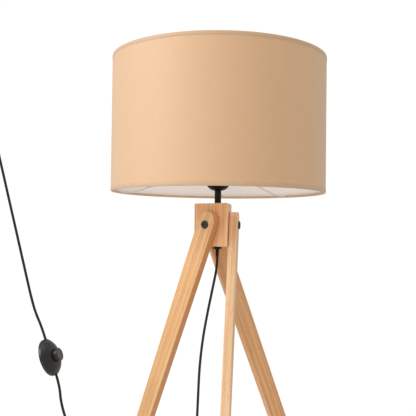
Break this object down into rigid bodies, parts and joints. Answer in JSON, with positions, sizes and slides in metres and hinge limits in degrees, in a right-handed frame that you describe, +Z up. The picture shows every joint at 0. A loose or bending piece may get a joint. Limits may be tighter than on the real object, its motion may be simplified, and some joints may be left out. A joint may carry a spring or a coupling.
{
  "type": "tripod floor lamp",
  "caption": "Floor lamp on a pinwheel wooden tripod with folding legs, a cloth drum shade and a lead with a foot switch.",
  "frame": {"origin": "on the floor, straight below the axis of the stem and the shade", "axes": "+Z up along the stem; -Y towards the side the lamp is seen from; +X to the right from there"},
  "size_m": [0.8386, 0.6947, 1.45],
  "materials": {
    "pale_wood": "satin",
    "foot_rubber": "matte",
    "nylon": "matte",
    "black_steel": "satin",
    "brass": "satin",
    "zinc_steel": "satin",
    "white_enamel": "gloss",
    "black_plastic": "satin",
    "insulator": "matte",
    "bulb_white": "satin",
    "bulb_glass": "frosted",
    "shade_cloth": "woven",
    "shade_hem_cloth": "woven",
    "shade_film": "matte",
    "lead_sheath": "matte",
    "switch_plastic": "satin",
    "button_plastic": "satin",
    "plug_plastic": "matte"
  },
  "bodies": {
    "stand": {"bulb_cap": "zinc_steel", "bulb_collar": "bulb_white", "bulb_globe": "bulb_glass", "bulb_tip": "insulator", "centre_contact": "brass", "contact_block": "insulator", "cord_bush": "black_plastic", "fitter_ring": "white_enamel", "hub": "pale_wood", "hub_inserts": "brass", "lampholder_dome": "black_plastic", "lampholder_skirt": "black_plastic", "lead_in_stem": "lead_sheath", "lead_lamp_side": "lead_sheath", "lead_plug_side": "lead_sheath", "leg_bolts": "black_steel", "plug_body": "plug_plastic", "plug_pins": "zinc_steel", "plug_relief": "plug_plastic", "screw_shell": "brass", "shade_clamp_ring": "black_plastic", "shade_hem_bottom": "shade_hem_cloth", "shade_hem_top": "shade_hem_cloth", "shade_liner": "shade_film", "shade_panel": "shade_cloth", "shade_ring_bottom": "zinc_steel", "shade_ring_top": "zinc_steel", "spacer_sleeve": "black_steel", "spider_arms": "white_enamel", "stem_nut": "black_steel", "stem_tube": "zinc_steel", "stem_washer": "black_steel", "switch_base": "switch_plastic", "switch_block": "insulator", "switch_contacts": "brass", "switch_cord_clamps": "insulator", "switch_cord_tails": "lead_sheath", "switch_cover": "switch_plastic", "switch_spring": "zinc_steel", "terminal_screws": "brass"},
    "left_leg": {"leg_left": "pale_wood", "foot_pad_left": "foot_rubber", "pivot_washer_left": "nylon"},
    "front_leg": {"leg_front": "pale_wood", "foot_pad_front": "foot_rubber", "pivot_washer_front": "nylon"},
    "right_leg": {"leg_right": "pale_wood", "foot_pad_right": "foot_rubber", "pivot_washer_right": "nylon"},
    "foot_button": {"switch_button": "button_plastic"}
  },
  "joints": [
    {"name": "left_leg_fold", "type": "hinge", "parent": "stand", "child": "left_leg", "pos_m": [-0.01795, -0.02564, 1.14], "axis": [-0.5736, -0.8192, 0], "range_deg": [-8.7, 21.3]},
    {"name": "front_leg_fold", "type": "hinge", "parent": "stand", "child": "front_leg", "pos_m": [0.03118, -0.00273, 1.14], "axis": [0.9962, -0.0872, 0], "range_deg": [-8.7, 21.3]},
    {"name": "right_leg_fold", "type": "hinge", "parent": "stand", "child": "right_leg", "pos_m": [-0.01323, 0.02837, 1.14], "axis": [-0.4226, 0.9063, 0], "range_deg": [-8.7, 21.3]},
    {"name": "foot_button_press", "type": "slide", "parent": "stand", "child": "foot_button", "axis": [-0.924, 0.181, -0.337], "range_m": [0, 0.0025], "stiffness_N_per_m": 2500, "springref_m": -0.002, "deforming": ["switch_spring"]}
  ]
}
